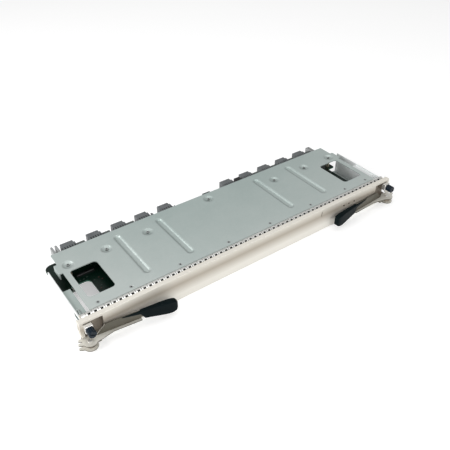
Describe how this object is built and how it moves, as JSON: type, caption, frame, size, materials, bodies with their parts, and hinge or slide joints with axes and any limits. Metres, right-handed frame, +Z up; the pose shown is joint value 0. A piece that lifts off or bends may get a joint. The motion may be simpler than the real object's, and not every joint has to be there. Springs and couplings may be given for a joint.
{
  "type": "switch fabric module",
  "caption": "Wide flat switch fabric module for a network chassis, with a steel tray and cover, backplane connectors, ejector levers and captive screws.",
  "frame": {"origin": "middle of the tray underside, halfway between the front panel and the rear edge of the tray floor", "axes": "+X along the front panel to its right end seen from the front, +Y from the front panel towards the backplane, +Z up from tray to cover"},
  "size_m": [0.6276, 0.2048, 0.0461],
  "materials": {
    "tray_steel": "bright zinc-plated sheet",
    "board": "dark green lacquered laminate",
    "post_brass": "nickel-coloured posts",
    "screw_steel": "zinc-plated screws",
    "connector_plastic": "dark grey moulding",
    "gasket_metal": "bright spring metal fingers",
    "panel_paint": "satin, warm silver",
    "bracket_metal": "brownish grey die casting",
    "chip_black": "black package",
    "converter_black": "black moulded block",
    "ferrule_metal": "bright sleeve",
    "grip_plastic": "dark teal moulding",
    "guide_metal": "light grey casting",
    "sink_metal": "plain extruded fins",
    "knob_plastic": "dark teal moulding",
    "lever_steel": "pressed and plated sheet",
    "pin_steel": "turned steel",
    "clear_plastic": "smoky light pipe",
    "connector_dark": "dark grey-green moulding",
    "bar_black": "black, rounded",
    "cover_steel": "zinc-plated sheet, satin, faintly blue-green"
  },
  "bodies": {
    "module": {"bottom_tray": "tray_steel", "circuit_board": "board", "cover_posts": "post_brass", "edge_screws": "screw_steel", "fabric_connector_01": "connector_plastic", "fabric_connector_02": "connector_plastic", "fabric_connector_03": "connector_plastic", "fabric_connector_04": "connector_plastic", "fabric_connector_05": "connector_plastic", "fabric_connector_08": "connector_plastic", "fabric_connector_09": "connector_plastic", "fabric_connector_10": "connector_plastic", "fabric_connector_11": "connector_plastic", "fabric_connector_12": "connector_plastic", "finger_gasket": "gasket_metal", "floor_posts": "post_brass", "front_panel": "panel_paint", "key_pin": "connector_plastic", "left_bracket": "bracket_metal", "left_chip": "chip_black", "left_converter": "converter_black", "left_ferrule": "ferrule_metal", "left_guide": "guide_metal", "left_heat_sink": "sink_metal", "left_pivot_pin": "pin_steel", "left_screw_block": "bracket_metal", "left_tray_wall": "tray_steel", "light_pipe": "clear_plastic", "management_socket_1": "connector_dark", "management_socket_2": "connector_dark", "power_block": "connector_dark", "right_bracket": "bracket_metal", "right_chip": "chip_black", "right_converter": "converter_black", "right_ferrule": "ferrule_metal", "right_guide": "guide_metal", "right_heat_sink": "sink_metal", "right_pivot_pin": "pin_steel", "right_screw_block": "bracket_metal", "right_tray_wall": "tray_steel", "seat_screws": "screw_steel", "side_connector_01": "connector_dark", "side_connector_02": "connector_dark", "side_connector_03": "connector_dark", "side_connector_09": "connector_dark", "side_connector_10": "connector_dark", "side_connector_11": "connector_dark", "side_connector_12": "connector_dark", "stiffener_bar": "bar_black", "top_cover": "cover_steel"},
    "left_lever_body": {"left_lever": "lever_steel", "left_grip": "grip_plastic"},
    "right_lever_body": {"right_lever": "lever_steel", "right_grip": "grip_plastic"},
    "left_screw_slider": {"left_washer": "pin_steel"},
    "right_screw_slider": {"right_washer": "pin_steel"},
    "left_screw_spinner": {"left_captive_screw": "screw_steel", "left_knob": "knob_plastic"},
    "right_screw_spinner": {"right_captive_screw": "screw_steel", "right_knob": "knob_plastic"}
  },
  "joints": [
    {"name": "left_lever_hinge", "type": "hinge", "parent": "module", "child": "left_lever_body", "pos_m": [-0.297, -0.084, 0.009], "axis": [0, 0, -1], "range_deg": [-6, 50]},
    {"name": "left_screw_slide", "type": "slide", "parent": "module", "child": "left_screw_slider", "axis": [0, -1, 0], "range_m": [0, 0.005]},
    {"name": "left_screw_spin", "type": "hinge", "parent": "left_screw_slider", "child": "left_screw_spinner", "pos_m": [-0.2944, -0.076, 0.0336], "axis": [0, 1, 0], "continuous": true},
    {"name": "right_lever_hinge", "type": "hinge", "parent": "module", "child": "right_lever_body", "pos_m": [0.297, -0.084, 0.009], "axis": [0, 0, 1], "range_deg": [-3.3, 52.7]},
    {"name": "right_screw_slide", "type": "slide", "parent": "module", "child": "right_screw_slider", "axis": [0, -1, 0], "range_m": [0, 0.005]},
    {"name": "right_screw_spin", "type": "hinge", "parent": "right_screw_slider", "child": "right_screw_spinner", "pos_m": [0.2944, -0.076, 0.0336], "axis": [0, 1, 0], "continuous": true}
  ]
}
